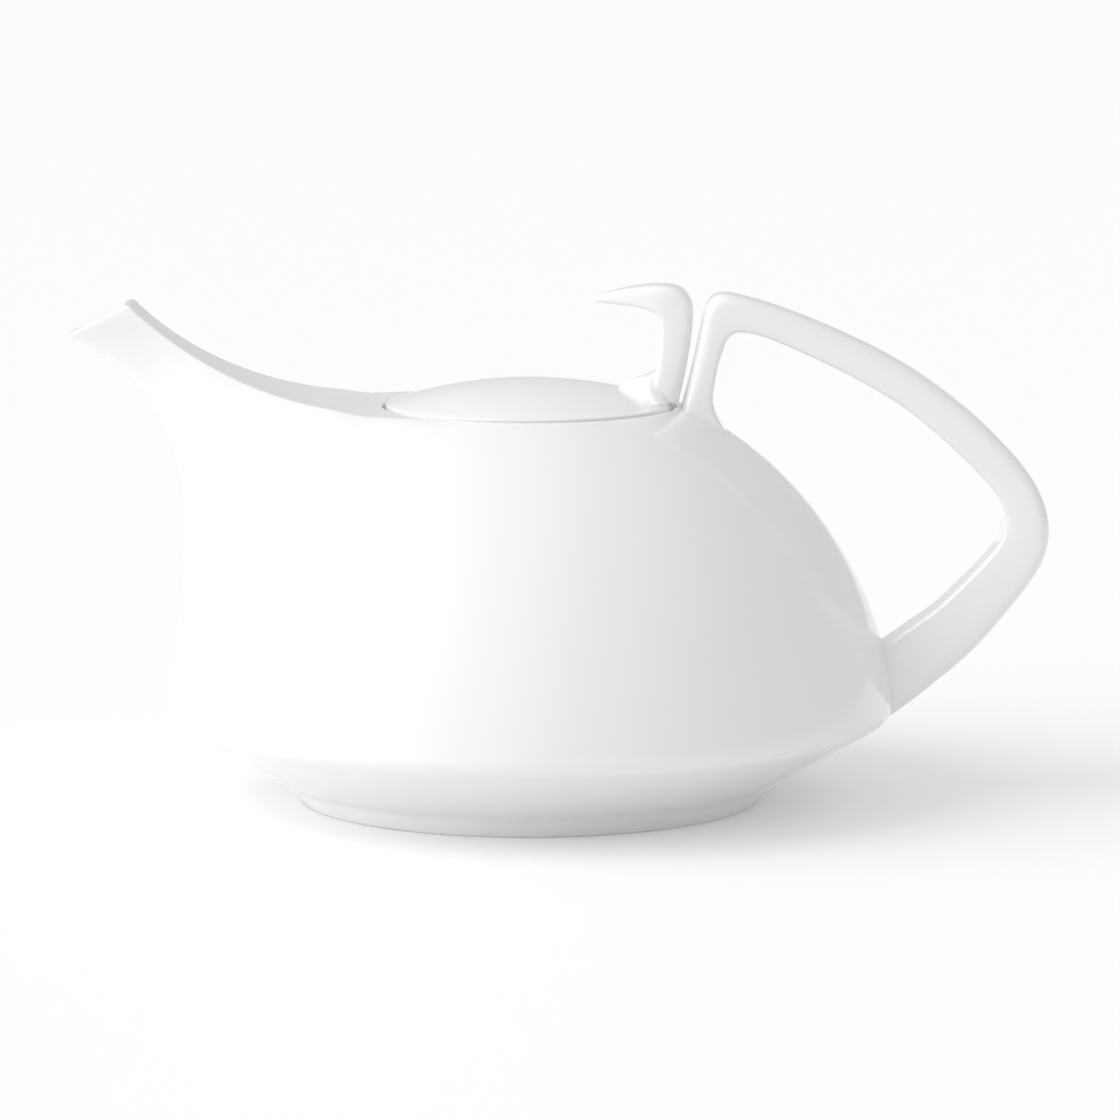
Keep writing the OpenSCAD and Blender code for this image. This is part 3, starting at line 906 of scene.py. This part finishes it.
bm = bmesh.new()
inner = lid["flangeRadius"] - lid["flangeThickness"]
crownLine = crownAt(lid["flangeRadius"], -lid["thickness"])
spinOutline(bm, softOutline([
    (inner, crownLine, 0), (inner, lid["flangeFoot"], 1.2), (lid["flangeRadius"], lid["flangeFoot"], 1.2),
    (lid["flangeRadius"], crownLine, 0), (inner, crownLine, 0)]), lid["segments"])
lidFlange = makePiece("lidFlange", bm, "lid", ["lid_flange"], innerGlaze)

hook = {
    "postWidth": 12.6,
    "outerSoft": 2.3,
    "innerSoft": 1.1,
    "crown": 0.05,
    "stepsBetween": 5,
    "apex": 22,                 # where the base comes to a point, from the lid's centre
    "baseAngle": 50,
    "step": 1.5,                # up from the lid to the base
    "stepSlope": 0.8,           # how steep its side is
    "stepSoft": 0.2,            # rounding of the base's edge
    "baseHalf": 17,             # half the base's width
    "fadeFrom": 27,             # from this radius the step sinks into the lid, over this run
    "fadeRun": 8,
    "postFoot": 32.4,           # the inner face of the post
    "ridge": (7.6, 5.0),        # how high the base climbs the post, and over what distance
    "fillet": (4.9, 0.5),       # and the tighter curve right at the post
    # outer x, z and inner x, z, and the width as a share of the post's
    "stations": [
        (16.0, 125.1, 16.1, 124.3, 0.1), (18.0, 126.3, 18.6, 124.0, 0.3), (21.0, 127.2, 21.8, 123.7, 0.5),
        (25.0, 128.0, 25.0, 123.5, 0.7), (29.9, 128.6, 28.0, 123.0, 0.87), (34.2, 128.6, 30.2, 122.2, 0.97),
        (37.3, 127.8, 31.4, 121.3, 1.0), (39.3, 126.3, 32.1, 120.0, 1.0), (40.3, 124.4, 32.4, 118.4, 1.0),
        (40.5, 121.6, 32.4, 116.6, 1.0), (40.1, 116.4, 32.2, 113.6, 1.0), (39.4, 111.4, 31.9, 110.0, 1.0),
        (38.6, 107.2, 31.3, 107.0, 1.03), (37.6, 102.6, 30.6, 104.0, 1.1), (36.9, 99.6, 30.0, 100.6, 1.16)],
}
bm = bmesh.new()
loftRings(bm, [sectionRing(outer, inner, hook["postWidth"] / 2 * wide, hook)
               for outer, inner, wide in stationLines(hook["stations"], hook["stepsBetween"])])
lidHook = makePiece("lidHook", bm, "lid", ["lid_hook"], porcelain)


def hookBasePoint(u, v):
    # u runs from the base's point to the lid's edge, v from its right side to its left, closer at the edges
    side = math.sin(math.pi * (v - 0.5))
    spread = math.tan(math.radians(hook["baseAngle"]))
    back = math.sqrt(max(0.0, (lid["radius"] - 0.3) ** 2 - (side * hook["baseHalf"]) ** 2))
    x = hook["apex"] + (back - hook["apex"]) * u
    y = side * min(hook["baseHalf"], (x - hook["apex"]) * spread)
    return x, y


def hookBaseHeight(x, y):
    # the slab follows the lid's crown, sinks into it towards the lid's edge, and climbs the post
    angle = math.radians(hook["baseAngle"])
    fromEdge = max(0.0, (x - hook["apex"]) * math.sin(angle) - abs(y) * math.cos(angle))
    radius = math.hypot(x, y)
    top = hook["step"] * (1 - blendStep((radius - hook["fadeFrom"]) / hook["fadeRun"]))
    k = hook["stepSoft"]
    step = -k * math.log(math.exp(-fromEdge * hook["stepSlope"] / k) + math.exp(-top / k))
    beside = max(0.0, abs(y) - hook["postWidth"] / 2 + 1.5)
    away = math.hypot(max(0.0, hook["postFoot"] - x), 2.4 * beside)
    climb = sum(high * math.exp(-away / run) for high, run in (hook["ridge"], hook["fillet"]))
    climb *= (1 - math.exp(-fromEdge)) * (1 - blendStep((x - hook["postFoot"]) / 4))
    return crownAt(radius, step - 0.03) + climb


def buildHookBase():
    bm = bmesh.new()
    made = bmesh.ops.create_grid(bm, x_segments=48, y_segments=64, size=0.5)
    for vert in made["verts"]:
        x, y = hookBasePoint(vert.co.x + 0.5, vert.co.y + 0.5)
        vert.co = Vector((x, y, hookBaseHeight(x, y))) * mm
    bmesh.ops.remove_doubles(bm, verts=bm.verts, dist=0.02 * mm)
    bmesh.ops.recalc_face_normals(bm, faces=bm.faces)
    if sum(f.normal.z for f in bm.faces) < 0:
        bmesh.ops.reverse_faces(bm, faces=bm.faces)
    rim = [e for e in bm.edges if e.is_boundary]
    skirt = bmesh.ops.extrude_edge_only(bm, edges=rim)["geom"]
    for vert in [g for g in skirt if isinstance(g, bmesh.types.BMVert)]:
        vert.co.z = crownAt(math.hypot(vert.co.x, vert.co.y) / mm, -0.6) * mm
    bmesh.ops.recalc_face_normals(bm, faces=bm.faces)
    return bm


hookBase = makePiece("hookBase", buildHookBase(), "lid", [], porcelain)


studio = {"distance": 1.5, "height": 0.277, "side": 0.00755, "tilt": 8.25, "lens": 195.1,
          "keyAzimuth": -74, "keyHeight": 32, "keySoftness": 60, "keyStrength": 1.5, "fillStrength": 0.85,
          "skyStrength": 0.68}


def sunLight(name, azimuth, height, softness, strength, shadows):
    # azimuth is measured from the camera's side, to its right
    light = bpy.data.lights.new(name, "SUN")
    light.angle = math.radians(softness)
    light.energy = strength
    light.use_shadow = shadows
    lamp = bpy.data.objects.new(name, light)
    a, h = math.radians(azimuth), math.radians(height)
    towards = Vector((math.sin(a) * math.cos(h), -math.cos(a) * math.cos(h), math.sin(h)))
    lamp.rotation_euler = towards.to_track_quat("Z", "Y").to_euler()
    bpy.context.scene.collection.objects.link(lamp)


bm = bmesh.new()
bmesh.ops.create_grid(bm, x_segments=8, y_segments=8, size=6.0)
mesh = bpy.data.meshes.new("floor")
bm.to_mesh(mesh)
bm.free()
floorPlane = bpy.data.objects.new("floor", mesh)
bpy.context.scene.collection.objects.link(floorPlane)
floorLook, nodes, links = newMaterial("paleFloor")
nodes["Principled BSDF"].inputs["Base Color"].default_value = (0.95, 0.95, 0.95, 1)
nodes["Principled BSDF"].inputs["Roughness"].default_value = 0.6
mesh.materials.append(floorLook)

sunLight("keyLeft", studio["keyAzimuth"], studio["keyHeight"], studio["keySoftness"],
         studio["keyStrength"], True)
sunLight("keySoft", studio["keyAzimuth"], studio["keyHeight"], studio["keySoftness"],
         studio["fillStrength"], False)
world = bpy.data.worlds.new("studio")
world.use_nodes = True
world.node_tree.nodes["Background"].inputs["Color"].default_value = (1, 1, 1, 1)
world.node_tree.nodes["Background"].inputs["Strength"].default_value = studio["skyStrength"]
bpy.context.scene.world = world
bpy.context.scene.view_settings.view_transform = "Standard"

camera = bpy.data.cameras.new("camera")
camera.lens = studio["lens"]
camera.sensor_width = 36
camera.clip_end = 50
eye = bpy.data.objects.new("camera", camera)
eye.location = (studio["side"], -studio["distance"], studio["height"])
eye.rotation_euler = (math.radians(90 - studio["tilt"]), 0, 0)
bpy.context.scene.collection.objects.link(eye)
bpy.context.scene.camera = eye
